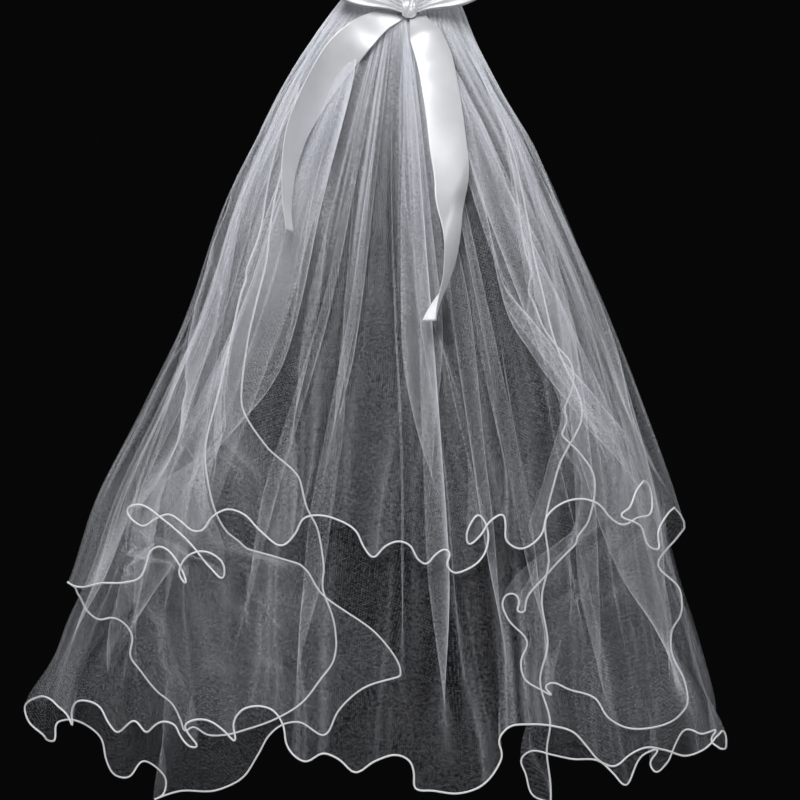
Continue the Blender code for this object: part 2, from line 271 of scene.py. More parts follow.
@dataclass(frozen=True)
class VeilForm:
    """The hanging veil's form: level rings, arcs of ellipses, that widen downwards."""

    rings: tuple[Ring, ...] = named_rows(
        Ring,
        (-6, 56, 56, 1.4, 12, 80, 3.6),
        (40, 88, 71, 17, 18, 98, 5.5),
        (100, 124, 99, 32, 24, 112, 8),
        (150, 148, 126, 40, 29, 120, 9),
        (230, 182, 159, 49, 36, 130, 14),
        (340, 217, 205, 60, 44, 142, 17),
        (450, 266, 246, 76, 48, 153, 18),
        (560, 318, 283, 95, 50, 161, 20),
        (640, 345, 305, 112, 52, 165, 19),
        (700, 372, 325, 124, 53, 167, 18),
        (780, 396, 347, 142, 54, 168, 17),
        (900, 414, 370, 168, 55, 169, 17),
    )

    def size(self, column: str, drop: np.ndarray | float) -> np.ndarray:
        """One column of the rings' table at a drop."""
        return smooth(self.rings, column, drop)

    def point(self, share: np.ndarray, drop: np.ndarray, outward: np.ndarray) -> np.ndarray:
        """Places on the form.

        Args:
            share: Share of the way round, 0 at the back and about 1 at the front edges.
            drop: Millimetres below the comb.
            outward: Millimetres out from the ring.

        Returns:
            The places, in millimetres.
        """
        angle = np.radians(share * self.size("wrap", drop))
        half = np.where(angle < 0, self.size("left", drop), self.size("right", drop))
        side = self.size("side", drop)
        deep = side + self.size("back", drop)
        x, y = half * np.sin(angle), side - deep * np.cos(angle)
        nx, ny = np.sin(angle) / half, -np.cos(angle) / deep
        length = np.hypot(nx, ny)
        found = (x + outward * nx / length, y + outward * ny / length, -drop)
        return np.stack(np.broadcast_arrays(*found), axis=-1)

    def traced(self, run: Run, view: PhotoView, gaps: float) -> list[tuple[float, ...]]:
        """Finds where on the form the pixels of a run lie.

        Args:
            run: The pixels and the side that they show.
            view: The photograph's view.
            gaps: How many gaps out from the inner tier's rings.

        Returns:
            For each pixel, its share of the way round, its drop, and how far it stands out
            from the form, for curls that show beyond the form's outline.
        """
        found = []
        for px, py in run.pixels:
            depth, beyond = 0.0, 0.0
            for _ in range(8):
                x, drop = view.place(px, py, depth)
                outward = gaps * float(self.size("gap", drop))
                half = float(self.size("left" if x < 0 else "right", drop)) + outward
                side = float(self.size("side", drop))
                deep = side + float(self.size("back", drop)) + outward
                beyond = max(0.0, abs(x) - 0.9985 * half)
                angle = math.asin(max(-0.9985, min(0.9985, x / half)))
                if run.side is not Side.NEAR:
                    angle = math.radians(run.side.value) - angle
                depth = side - deep * math.cos(angle)
            found.append((math.degrees(angle) / float(self.size("wrap", drop)), drop, beyond))
        return found

    def back(self, drop: float, x: float, outward: float) -> float:
        """The y of the veil's back at a drop and an x, some way out from the ring."""
        half = float(self.size("left" if x < 0 else "right", drop))
        turn = math.degrees(math.asin(min(1.0, abs(x) / half)))
        share = math.copysign(turn / float(self.size("wrap", drop)), x)
        return float(self.point(np.array(share), np.array(float(drop)), outward)[1])


def both_ways(operation: str) -> tuple[Any, Any]:
    """Makes an operator of Value that adds a Math node, and its reflected form."""

    def plain(self: "Value", other: Any) -> "Value":
        """The operator with the Value first."""
        return self.maths(operation, self, other)

    def reflected(self: "Value", other: Any) -> "Value":
        """The operator with the Value second."""
        return self.maths(operation, other, self)

    return plain, reflected


class Value:
    """A number in a shader. Sums written with it add Math nodes."""

    def __init__(self, shader: "Shader", socket: Any) -> None:
        """Wraps a node's output socket."""
        self.shader = shader
        self.socket = socket

    def maths(self, operation: str, *terms: Any) -> "Value":
        """Adds one Math node.

        Args:
            operation: The Math node's operation.
            terms: Its inputs, as Values or plain numbers.

        Returns:
            The node's result.
        """
        inputs = dict(enumerate(terms))
        made = self.shader.add("ShaderNodeMath", {"operation": operation}, inputs)
        return Value(self.shader, made.outputs[0])

    __add__, __radd__ = both_ways("ADD")
    __sub__, __rsub__ = both_ways("SUBTRACT")
    __mul__, __rmul__ = both_ways("MULTIPLY")
    __truediv__, __rtruediv__ = both_ways("DIVIDE")
    __pow__, __rpow__ = both_ways("POWER")

    def cosine(self) -> "Value":
        """The cosine."""
        return self.maths("COSINE", self)

    def sine(self) -> "Value":
        """The sine."""
        return self.maths("SINE", self)

    def between(self, low: float, high: float) -> "Value":
        """0 below low, 1 above high, and a soft step from one to the other."""
        settings = {"interpolation_type": "SMOOTHSTEP"}
        inputs = {"Value": self, "From Min": low, "From Max": high}
        made = self.shader.add("ShaderNodeMapRange", settings, inputs)
        return Value(self.shader, made.outputs[0])

    def clipped(self, low: float, high: float) -> "Value":
        """The number, kept between two limits."""
        made = self.shader.add("ShaderNodeClamp", {}, {"Value": self, "Min": low, "Max": high})
        return Value(self.shader, made.outputs[0])


class Shader:
    """A material and its nodes, round one Principled shader."""

    def __init__(self, name: str) -> None:
        """Makes a material that holds a Principled shader."""
        self.material = bpy.data.materials.new(name)
        self.material.use_nodes = True
        self.nodes = self.material.node_tree.nodes
        self.links = self.material.node_tree.links
        self.surface = self.nodes["Principled BSDF"]

    def add(self, kind: str, settings: dict[str, Any], inputs: dict[Any, Any]) -> Any:
        """Adds a node.

        Args:
            kind: The node's type.
            settings: Its settings, such as a Math node's operation.
            inputs: The values or links of its sockets, by name or number.

        Returns:
            The node.
        """
        made = self.nodes.new(kind)
        for name, value in settings.items():
            setattr(made, name, value)
        for name, value in inputs.items():
            self.feed(made.inputs[name], value)
        return made

    def feed(self, socket: Any, value: Any) -> None:
        """Links a Value or a socket to a socket, or sets a plain value on it."""
        if isinstance(value, Value):
            self.links.new(value.socket, socket)
        elif isinstance(value, bpy.types.NodeSocket):
            self.links.new(value, socket)
        else:
            socket.default_value = value

    def set(self, **inputs: Any) -> None:
        """Feeds the Principled shader's sockets, with _ for a space in a name."""
        for name, value in inputs.items():
            self.feed(self.surface.inputs[name.replace("_", " ")], value)

    def number(self, attribute: str) -> Value:
        """A number that the mesh carries at each point."""
        made = self.add("ShaderNodeAttribute", {"attribute_name": attribute}, {})
        return Value(self, made.outputs["Fac"])

    def cloth_place(self) -> tuple[Value, Value]:
        """The two lengths along the cloth, in metres, from its UV map."""
        place = self.add("ShaderNodeUVMap", {"uv_map": "cloth"}, {})
        parts = self.add("ShaderNodeSeparateXYZ", {}, {"Vector": place.outputs["UV"]})
        return Value(self, parts.outputs["X"]), Value(self, parts.outputs["Y"])

    def place(self) -> Any:
        """The place in the object, in metres."""
        return self.add("ShaderNodeTexCoord", {}, {}).outputs["Object"]

    def noise(self, vector: Any, scale: float, detail: float) -> Value:
        """Soft noise, about 0.5, with a number of lumps to a metre."""
        inputs = {"Vector": vector, "Scale": scale, "Detail": detail}
        made = self.add("ShaderNodeTexNoise", {}, inputs)
        return Value(self, made.outputs["Fac"])

    def mixed(self, factor: Value, first: tuple, second: tuple) -> Any:
        """A colour between two, by a factor."""
        made = self.add("ShaderNodeMix", {"data_type": "RGBA"}, {0: factor})
        made.inputs[6].default_value = (*first, 1.0)
        made.inputs[7].default_value = (*second, 1.0)
        return made.outputs[2]

    def bump(self, height: Value, strength: float, depth: float) -> None:
        """Feeds Normal with a relief of a depth in metres."""
        inputs = {"Strength": strength, "Distance": depth, "Height": height}
        made = self.add("ShaderNodeBump", {}, inputs)
        self.feed(self.surface.inputs["Normal"], made.outputs["Normal"])


@dataclass(frozen=True)
class TulleFinish:
    """Soft white net: hexagonal holes, denser where the cloth is drawn together."""

    pitch: float = 0.0023
    hole: float = 0.01
    thread: float = 0.066
    cloud: float = 0.5
    grain: float = 5.5
    bunching: float = 1.35

    def material(self) -> bpy.types.Material:
        """Builds the net's material."""
        shader = Shader("tulle_net")
        across, down = shader.cloth_place()
        step = 2 * math.pi / self.pitch
        lattice: Any = 0.0
        for turn in (0.0, 60.0, 120.0):
            way = (math.cos(math.radians(turn)), math.sin(math.radians(turn)))
            lattice = lattice + (across * (way[0] * step) + down * (way[1] * step)).cosine()
        threads = 1.0 - lattice.between(-0.9, 0.9)
        place = shader.place()
        cloud = shader.noise(place, 13.0, 2.0)
        grain = shader.noise(place, 400.0, 0.0)
        layers = shader.number("layers")
        uneven = (cloud - 0.5) * self.cloud + (grain - 0.5) * self.grain / (layers + 1.0) + 1.0
        one = (threads * (self.thread - self.hole) + self.hole) * uneven
        alpha = 1.0 - (1.0 - one.clipped(0.004, 0.9)) ** (layers**self.bunching)
        white = shader.mixed(cloud, (0.82, 0.85, 0.94), (0.92, 0.935, 0.985))
        shader.set(Base_Color=white, Alpha=alpha, Roughness=0.62)
        shader.set(Sheen_Weight=0.25, Sheen_Roughness=0.4, Specular_IOR_Level=0.25)
        return shader.material


@dataclass(frozen=True)
class CordFinish:
    """White thread wound closely over a fine cord."""

    winding: float = 0.0011

    def material(self) -> bpy.types.Material:
        """Builds the wound thread's material."""
        shader = Shader("wound_cord")
        along, round_it = shader.cloth_place()
        wound = ((along + round_it * self.winding) * (2 * math.pi / self.winding)).sine()
        winding_relief_and_shade = wound.between(-1.0, -0.1)
        # The grooves between the windings are coloured darker: painted shade in the recesses. The
        # same mask raises the windings in the bump.
        white = shader.mixed(winding_relief_and_shade, (0.74, 0.75, 0.79), (0.96, 0.96, 0.98))
        shader.set(Base_Color=white, Roughness=0.42, Sheen_Weight=0.2)
        shader.bump(winding_relief_and_shade, 0.5, 0.0002)
        return shader.material


@dataclass(frozen=True)
class SatinFinish:
    """White satin ribbon: fine floats across it, and a woven edge."""

    name: str = "satin_ribbon"
    float_pitch: float = 0.0009

    def material(self) -> bpy.types.Material:
        """Builds the ribbon's material."""
        shader = Shader(self.name)
        across, along = shader.cloth_place()
        ribs = (along * (2 * math.pi / self.float_pitch)).sine() * 0.5 + 0.5
        place = shader.place()
        cloud = shader.noise(place, 45.0, 3.0)
        edge = shader.number("edge")
        white = shader.mixed(cloud, (0.70, 0.71, 0.745), (0.79, 0.80, 0.825))
        rough = cloud * 0.14 + edge * 0.15 + 0.39
        shader.set(Base_Color=white, Roughness=rough, Metallic=0.4, Specular_IOR_Level=0.5)
        shader.set(Sheen_Weight=0.3, Sheen_Roughness=0.3)
        relief = ribs * 0.25 + (across * (2 * math.pi / 0.0007)).sine() * 0.12 + edge * 0.8
        shader.bump(relief + cloud * 0.6, 0.35, 0.0002)
        return shader.material


@dataclass(frozen=True)
class CombFinish:
    """Pale moulded plastic with a faint cloudiness."""

    def material(self) -> bpy.types.Material:
        """Builds the comb's material."""
        shader = Shader("pale_comb_plastic")
        place = shader.place()
        cloud = shader.noise(place, 140.0, 3.0)
        colour = shader.mixed(cloud, (0.76, 0.77, 0.78), (0.86, 0.865, 0.87))
        shader.set(Base_Color=colour, Roughness=cloud * 0.15 + 0.2)
        shader.set(Coat_Weight=0.3, Coat_Roughness=0.15)
        shader.bump(shader.noise(place, 900.0, 2.0), 0.12, 0.0002)
        return shader.material


@dataclass(frozen=True)
class FloorFinish:
    """Plain pale floor."""

    def material(self) -> bpy.types.Material:
        """Builds the floor's material."""
        shader = Shader("pale_floor")
        place = shader.place()
        cloud = shader.noise(place, 2.0, 3.0)
        colour = shader.mixed(cloud, (0.70, 0.70, 0.70), (0.74, 0.74, 0.735))
        shader.set(Base_Color=colour, Roughness=0.75)
        return shader.material


class Piece:
    """Helpers for meshes that ride on the veil and stand for its solids."""

    @staticmethod
    def grid(name: str, points: np.ndarray, cloth: np.ndarray) -> bpy.types.Object:
        """Makes an open sheet of quads.

        Args:
            name: The piece's name.
            points: Rows and columns of places, in millimetres.
            cloth: For each of them, the two lengths along the cloth, in millimetres.

        Returns:
            The object, linked and smooth, with a UV map in metres of cloth.
        """
        rows, columns = points.shape[:2]
        index = np.arange(rows * columns).reshape(rows, columns)
        quads = np.stack((index[:-1, :-1], index[1:, :-1], index[1:, 1:], index[:-1, 1:]), -1)
        mesh = bpy.data.meshes.new(name)
        mesh.from_pydata((points.reshape(-1, 3) * MM).tolist(), [], quads.reshape(-1, 4).tolist())
        mesh.uv_layers.new(name="cloth")
        loops = np.empty(len(mesh.loops), int)
        mesh.loops.foreach_get("vertex_index", loops)
        mesh.uv_layers["cloth"].data.foreach_set("uv", (cloth.reshape(-1, 2)[loops] * MM).ravel())
        mesh.shade_smooth()
        return linked(name, mesh)

    @staticmethod
    def number(obj: bpy.types.Object, name: str, values: np.ndarray) -> None:
        """Stores a number at each point of a piece's mesh, for its material."""
        layer = obj.data.attributes.new(name, "FLOAT", "POINT")
        layer.data.foreach_set("value", values.astype(np.float32).ravel())

    @staticmethod
    def tube(name: str, route: np.ndarray, radius: float, sides: int) -> bpy.types.Object:
        """Makes a closed round tube along a route.

        Args:
            name: The piece's name.
            route: The places that the tube's middle follows, in millimetres.
            radius: The tube's radius in millimetres.
            sides: The number of sides.

        Returns:
            The object, with a UV map of the lengths along and round it.
        """
        along = np.gradient(route, axis=0)
        along /= np.linalg.norm(along, axis=1, keepdims=True)
        normals = np.empty_like(route)
        normal = np.cross(along[0], (0.0, 1.0, 0.3))
        for i, way in enumerate(along):
            normal = normal - way * normal.dot(way)
            normal = normal / np.linalg.norm(normal)
            normals[i] = normal
        across = np.cross(along, normals)
        turn = np.linspace(0, 2 * math.pi, sides, endpoint=False)
        rings = (
            route[:, None]
            + radius * np.cos(turn)[None, :, None] * normals[:, None]
            + radius * np.sin(turn)[None, :, None] * across[:, None]
        )
        index = np.arange(len(route) * sides).reshape(-1, sides)
        beside = np.roll(index, -1, axis=1)
        quads = np.stack((index[:-1], beside[:-1], beside[1:], index[1:]), -1).reshape(-1, 4)
        ends = [index[0, ::-1].tolist(), index[-1].tolist()]
        mesh = bpy.data.meshes.new(name)
        mesh.from_pydata((rings.reshape(-1, 3) * MM).tolist(), [], quads.tolist() + ends)
        i, j = np.divmod(np.arange(len(quads)), sides)
        corners = ((i, j), (i, j + 1), (i + 1, j + 1), (i + 1, j))
        lengths = path_lengths(route) * MM
        cloth = np.stack([np.stack((lengths[a], b / sides), -1) for a, b in corners], 1)
        cloth = np.concatenate((cloth.reshape(-1, 2), np.zeros((2 * sides, 2))))
        mesh.uv_layers.new(name="cloth")
        mesh.uv_layers["cloth"].data.foreach_set("uv", cloth.ravel())
        mesh.polygons.foreach_set("use_smooth", [True] * len(quads) + [False, False])
        return linked(name, mesh)

    @staticmethod
    def dress(
        obj: bpy.types.Object, finish: bpy.types.Material, slot: str, *nodes: str
    ) -> bpy.types.Object:
        """Gives a piece its finish and its place on the veil.

        Args:
            obj: The piece.
            finish: Its material.
            slot: Not used.
            nodes: The solids that it stands for.

        Returns:
            The piece.
        """
        obj.data.materials.clear()
        obj.data.materials.append(finish)
        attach(obj, BODY)
        if nodes:
            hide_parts(*nodes)
        LOG.info("%s: %d faces", obj.name, len(obj.data.polygons))
        return obj


UPPER_HEM = (
    Run(
        Side.LEFT_FAR,
        ((335, 646), (332, 661), (319, 679), (298, 704), (275, 718), (245, 729), (222, 735)),
        ((204, 735), (187, 727), (181, 732), (176, 720), (168, 704), (153, 692), (135, 671)),
        ((125, 656), (128, 636), (122, 625), (110, 618), (97, 620), (84, 610), (79, 597), (72, 583)),
    ),
    Run(
        Side.NEAR,
        ((80, 587), (97, 583), (122, 582), (135, 578), (143, 564), (150, 549), (158, 546)),
        ((166, 550), (172, 560), (179, 585), (174, 575), (184, 556), (201, 551), (216, 563)),
        ((213, 580), (202, 568), (186, 546), (160, 520), (140, 504), (131, 509), (133, 520)),
        ((139, 526), (153, 518), (166, 514), (176, 521), (187, 531), (195, 531), (209, 516)),
        ((224, 509), (240, 514), (255, 531), (277, 546), (291, 534), (301, 518), (316, 515)),
        ((337, 520), (355, 531), (362, 546), (372, 558), (385, 546), (400, 541), (410, 545)),
        ((418, 559), (427, 565), (436, 555), (448, 549), (452, 554), (448, 564), (455, 573)),
        ((471, 569), (484, 559), (491, 541), (489, 526), (479, 514), (473, 521), (468, 536)),
        ((470, 545), (482, 536), (492, 521), (505, 514), (508, 523), (510, 541), (524, 549)),
        ((538, 544), (547, 534), (551, 516), (566, 503), (589, 499), (602, 504), (617, 518)),
        ((630, 525), (642, 518), (658, 513), (660, 498), (653, 484), (645, 481), (635, 488)),
        ((627, 508), (619, 514), (640, 526), (655, 548), (663, 549), (659, 531), (663, 518)),
        ((674, 508), (682, 519)),
    ),
    Run(
        Side.RIGHT_FAR,
        ((676, 540), (664, 565), (679, 590), (683, 610), (675, 633), (675, 648), (688, 684)),
        ((691, 704), (681, 717), (660, 727), (624, 725), (612, 717), (599, 699), (573, 690)),
        ((553, 683), (548, 686), (557, 696), (545, 690), (528, 679), (524, 661), (530, 643)),
        ((510, 618), (505, 602), (510, 594), (517, 594), (522, 602), (520, 612), (528, 612)),
    ),
)

LOWER_HEM = (
    Run(
        Side.LEFT_FAR,
        ((401, 676), (362, 689), (339, 710), (324, 735), (298, 722), (283, 725), (270, 735)),
        ((258, 755), (242, 778), (217, 790), (179, 791), (150, 799), (163, 794), (167, 781)),
        ((158, 768), (143, 761), (125, 777), (110, 773), (105, 761), (102, 738), (87, 724)),
        ((68, 720), (57, 725), (52, 738), (41, 735), (29, 722), (27, 710)),
    ),
    Run(
        Side.NEAR,
        ((42, 697), (54, 702), (64, 715), (68, 727), (70, 715), (79, 702), (92, 701)),
        ((102, 707), (107, 722), (115, 733), (125, 727), (135, 720), (147, 733), (151, 729)),
        ((166, 721), (176, 725), (179, 735), (189, 748), (195, 748), (189, 735), (186, 725)),
        ((194, 720), (209, 720), (222, 730), (233, 743), (233, 722), (242, 710), (255, 706)),
        ((273, 710), (283, 725), (286, 745), (296, 758), (304, 762), (324, 753), (339, 759)),
        ((355, 773), (375, 761), (400, 755), (410, 761), (414, 773), (415, 789), (433, 791)),
        ((459, 794), (482, 786), (497, 768), (502, 755), (498, 740), (507, 727), (528, 724)),
        ((553, 726), (573, 732), (586, 745), (604, 763), (617, 767), (630, 755), (642, 748)),
        ((665, 750), (686, 756), (701, 750), (714, 738), (727, 735), (730, 744)),
    ),
    Run(
        Side.RIGHT_FAR,
        ((721, 748), (711, 738), (712, 731), (701, 734), (683, 730), (675, 743), (668, 763)),
        ((658, 772), (651, 763), (655, 750), (641, 755), (627, 785), (614, 773), (599, 761)),
        ((573, 759), (553, 755), (528, 752), (521, 759), (526, 773), (534, 795), (551, 803)),
    ),
)

UPPER_EDGES = (
    Run(
        Side.LEFT_FAR,
        ((292, 110), (276, 180), (262, 260), (244, 340), (238, 400), (262, 446), (297, 480)),
        ((303, 505), (316, 531), (322, 567), (319, 592), (328, 625)),
    ),
    Run(
        Side.RIGHT_FAR,
        ((505, 130), (520, 210), (538, 300), (566, 370), (588, 430), (606, 480), (603, 520)),
        ((590, 542), (576, 562), (571, 580), (545, 602)),
    ),
)

LOWER_EDGES = (
    Run(
        Side.LEFT_FAR,
        ((284, 120), (264, 210), (240, 300), (222, 380), (206, 440), (210, 490), (226, 530)),
        ((258, 552), (303, 566), (320, 592), (342, 611), (361, 632), (370, 655), (396, 671)),
    ),
    Run(
        Side.RIGHT_FAR,
        ((512, 150), (532, 250), (556, 340), (572, 410), (560, 470), (546, 525), (551, 560)),
        ((542, 600), (549, 640), (539, 682), (551, 722), (545, 757), (551, 795)),
    ),
)

GATHERS = named_rows(
    Pleat,
    (-0.29, -0.28, 0.30, 0.235, 0.0, -100),
    (0.04, 0.04, 0.12, 0.27, 0.0, -60),
    (0.28, 0.30, 0.27, 0.24, 0.0, -100),
)

UPPER_FOLDS = named_rows(
    Pleat,
    (-0.86, -0.80, 0.10, 0.95, 2.6, 90),
    (-0.66, -0.38, 0.10, 1.15, 3.4, 0),
    (-0.30, -0.28, 0.18, 1.2, -3.8, -40),
    (-0.155, -0.15, 0.02, 1.25, 1.6, -60),
    (-0.10, -0.095, 0.03, 1.2, 2.4, -60),
    (0.035, 0.04, 0.085, 1.2, -2.8, -40),
    (0.165, 0.145, 0.03, 1.2, 2.2, -60),
    (0.28, 0.33, 0.18, 1.2, 3.6, -40),
    (0.56, 0.50, 0.07, 1.15, -3.0, 0),
    (0.72, 0.70, 0.09, 1.0, 2.8, 100),
    (0.88, 0.86, 0.07, 0.9, -2.4, 120),
)

LOWER_FOLDS = named_rows(
    Pleat,
    (-0.80, -0.72, 0.08, 1.0, 2.6, 120),
    (-0.52, -0.46, 0.06, 1.2, 3.0, 0),
    (-0.29, -0.31, 0.14, 1.25, -3.4, -20),
    (-0.13, -0.17, 0.02, 1.2, 1.6, -60),
    (-0.08, -0.10, 0.025, 1.2, 2.2, -60),
    (0.05, 0.045, 0.03, 1.2, -2.2, 0),
    (0.14, 0.12, 0.02, 1.2, 1.6, -60),
    (0.19, 0.17, 0.03, 1.2, 2.0, -60),
    (0.31, 0.36, 0.14, 1.25, 3.4, -20),
    (0.62, 0.60, 0.07, 1.1, -2.6, 90),
    (0.84, 0.82, 0.06, 0.9, 2.2, 120),
)


@dataclass
class Tier:
    """One tier of tulle: its sheet, gathered at the comb, and the cord round its edge."""

    name: str
    form: VeilForm
    view: PhotoView
    outer: float
    hem: tuple[Run, ...]
    edges: tuple[Run, Run]
    folds: tuple[Pleat, ...]
    seed: int
    top_share: float = 0.4
    cut_share: float = 0.64
    hem_stretch: float = 1.17
    columns: int = 980
    rows: int = 74
    hem_reach: float = 90.0
    fold_reach: float = 260.0
    curl_reach: float = 60.0
    small_folds: int = 18
    fold_grows: float = 160.0
    fold_slides: float = 560.0
    fold_lift: float = 1.5
    least_step: float = 4.0
    traced_samples: int = 6000
    hem_samples: int = 4000
    hem_drop: float = 700.0
    hem_wrap: float = 165.0
    curl_limit: float = 11.0
    dip_limit: float = 16.0
    row_crowding: float = 1.35
    most_layers: float = 10.0
    cord_radius: float = 1.05
    cord_step: float = 3.0

    def all_folds(self) -> list[Pleat]:
        """The folds of the table and small ones between them, at fixed random places."""
        rng = np.random.default_rng(self.seed)
        made = list(self.folds)
        for place in np.linspace(-0.95, 0.95, self.small_folds):
            top = place + rng.uniform(-0.03, 0.03)
            size = rng.uniform(0.008, 0.024)
            made.append(
                Pleat(
                    top=top,
                    hem=top + rng.uniform(-0.06, 0.06),
                    width=size,
                    fullness=rng.uniform(0.5, 1.2),
                    depth=rng.choice((-1.0, 1.0)) * rng.uniform(0.8, 1.6),
                    starts=rng.uniform(-90.0, 220.0),
                )
            )
        return made

    def fold(
        self, folds: list[Pleat], share: np.ndarray, drop: np.ndarray
    ) -> tuple[np.ndarray, np.ndarray]:
        """How flat folds move the cloth.

        Args:
            folds: The folds.
            share: Share of the way round, before folding.
            drop: Millimetres below the comb.

        Returns:
            How far they slide it round, as a share, and lift it, in millimetres.
        """
        slide, lift = np.zeros_like(share), np.zeros_like(share)
        for pleat in folds:
            grown = ease((drop - pleat.starts) / self.fold_grows)
            centre = pleat.top + (pleat.hem - pleat.top) * ease(drop / self.fold_slides)
            x = np.clip((share - centre) / pleat.width, -1.0, 1.0)
            wave = np.sin(math.pi * x) * np.cos(math.pi * x / 2) ** 2
            slide += grown * pleat.fullness * pleat.width * wave
            lift += grown * pleat.depth * wave * self.fold_lift
        return slide, lift

    def sway(self, share: np.ndarray, drop: np.ndarray) -> np.ndarray:
        """Soft standing folds that all layers share, in millimetres outward."""
        broad = ripples(share, (3.1, 4.7, 6.3), 11) * 5.0 * ease((drop - 120) / 380)
        fine = ripples(share, (11.0, 15.5, 21.0), 12) * 1.6 * ease((drop - 60) / 200)
        gathers = ripples(share, (31.0, 43.0), 13) * 0.7 * ease(drop / 50) * ease(2 - drop / 160)
        return broad + fine + gathers

    def hem_path(self) -> np.ndarray:
        """The hem, finely sampled, with the stand of its curls.

        Returns:
            Rows of share, drop and stand, evenly spaced along the hem.
        """
        traced = (self.form.traced(run, self.view, self.outer) for run in self.hem)
        table = np.array([row for rows in traced for row in rows])
        steps = np.linalg.norm(np.diff(self.form.point(*table.T), axis=0), axis=1)
        knots = np.concatenate(([0.0], np.cumsum(np.maximum(steps, self.least_step))))
        fine = rounded(knots, table, np.linspace(0, knots[-1], self.traced_samples))
        length = path_lengths(self.form.point(*fine.T))
        path = columns_at(np.linspace(0, length[-1], self.hem_samples), length, fine)
        back = np.maximum(-np.gradient(path[:, 0]), 0.0)
        radius = float(self.form.size("left", self.hem_drop))
        turned = np.cumsum(back) * radius * math.radians(self.hem_wrap)
        curls = np.clip((turned - blurred(turned, 70)) * 0.45, -self.curl_limit, self.curl_limit)
        dips = np.clip(path[:, 1] - blurred(path[:, 1], 60), -self.dip_limit, self.dip_limit)
        path[:, 2] = np.maximum(path[:, 2], 0.0) + blurred(curls - dips * 0.35, 6)
        LOG.info("%s: hem %.0f mm", self.name, length[-1])
        return path

    def edge_tables(self) -> list[tuple[Edge, ...]]:
        """The two front edges: where they lie round the ring at each drop."""
        tables = []
        for run, start in zip(self.edges, (-1.0, 1.0), strict=True):
            traced = self.form.traced(run, self.view, self.outer)
            rows = [Edge(row[1], row[0]) for row in traced]
            first = rows[0]
            higher = Edge(first.drop * 0.55, start + (first.share - start) * 0.4)
            tables.append((Edge(-6.0, start), higher, *rows))
        return tables

    def surface(
        self, edges: list[tuple[Edge, ...]], hem: np.ndarray, base: np.ndarray, down: np.ndarray
    ) -> np.ndarray:
        """Places of the sheet.

        Args:
            edges: The tables of the two front edges.
            hem: The hem's share, drop and stand for each column.
            base: Each column's share of the way round, before folding.
            down: Each row's share of the way down.

        Returns:
            Rows and columns of places, in millimetres.
        """
        top = self.form.rings[0].drop
        drop = top + (hem[None, :, 1] - top) * down[:, None]
        above = hem[None, :, 1] - drop
        settle = ease(1 - above / self.hem_reach)
        curl = ease(1 - above / self.curl_reach)
        share = base[None, :] + np.zeros_like(drop)
        fades = (ease((-base - 0.5) / 0.5), ease((base - 0.5) / 0.5))
        for table, end, fade in zip(edges, (base[0], base[-1]), fades, strict=True):
            share = share + (smooth(table, "share", drop) - end) * fade[None, :]
        held = 1 - ease(1 - above / self.fold_reach)
        drawn, _ = self.fold(list(GATHERS), share, drop)
        share = share - drawn * held
        slide, lift = self.fold(self.all_folds(), share, drop)
        share = share - slide * held + (hem[None, :, 0] - share) * settle
        outward = self.outer * self.form.size("gap", drop) + lift * (1 - 0.7 * curl)
        outward = outward + self.sway(share, drop) * (1 - 0.6 * curl) + hem[None, :, 2] * curl
        return self.form.point(share, drop, outward)

    def build(self, tulle: bpy.types.Material, cord: bpy.types.Material) -> None:
        """Args:
            tulle: The net's material.
            cord: The cord's material.
        """
        hem = self.hem_path()
        edges = self.edge_tables()
        base = blurred(hem[:, 0], 45)
        base = blurred(np.maximum.accumulate(base), 25)
        base[0], base[-1] = hem[0, 0], hem[-1, 0]
        levels = self.surface(edges, hem, base, np.array([0.45, 0.6, 1.0]))
        steps = np.linalg.norm(np.diff(levels, axis=1), axis=2).max(axis=0)
        cloth = np.concatenate(([0.0], np.cumsum(steps)))
        even = np.linspace(0, cloth[-1], self.columns + 1)
        hem = columns_at(even, cloth, hem)
        base = np.interp(even, cloth, base)
        rows = 1 - (1 - np.linspace(0, 1, self.rows + 1)) ** self.row_crowding
        points = self.surface(edges, hem, base, rows)
        widths = np.linalg.norm(np.diff(points, axis=1), axis=2)
        lengths = np.linalg.norm(np.diff(points, axis=0), axis=2)
        spacing = np.empty(points.shape[:2])
        spacing[:, 1:-1] = (widths[:, 1:] + widths[:, :-1]) / 2
        spacing[:, 0], spacing[:, -1] = widths[:, 0], widths[:, -1]
        cut = (self.top_share + (1 - self.top_share) * rows)[:, None]
        layers = cloth[-1] / self.columns / np.maximum(spacing, 0.05)
        layers = np.clip(layers, 0.7, self.most_layers)
        down = np.concatenate((np.zeros((1, self.columns + 1)), np.cumsum(lengths, axis=0)))
        across = (even[None, :] - even[-1] / 2) * cut
        sheet = Piece.grid(f"{self.name}_tulle", points, np.stack((across, down), axis=-1))
        Piece.number(sheet, "layers", layers)
        Piece.dress(sheet, tulle, "tulle", self.name)
        trim = Piece.tube(f"{self.name}_edge_cord", self.edge_route(points), self.cord_radius, 8)
        Piece.dress(trim, cord, "edge_cord", f"{self.name}_cord")

    def edge_route(self, points: np.ndarray) -> np.ndarray:
        """The cord's route: down the left front edge, along the hem and up the right.

        Args:
            points: The sheet's places.

        Returns:
            The route's places, evenly spaced.
        """
        path = np.concatenate((points[3:, 0], points[-1, 1:-1], points[3:, -1][::-1]))
        length = path_lengths(path)
        route = columns_at(np.arange(0.0, length[-1], self.cord_step), length, path)
        return np.stack([blurred(column, 0.9) for column in route.T], axis=1)


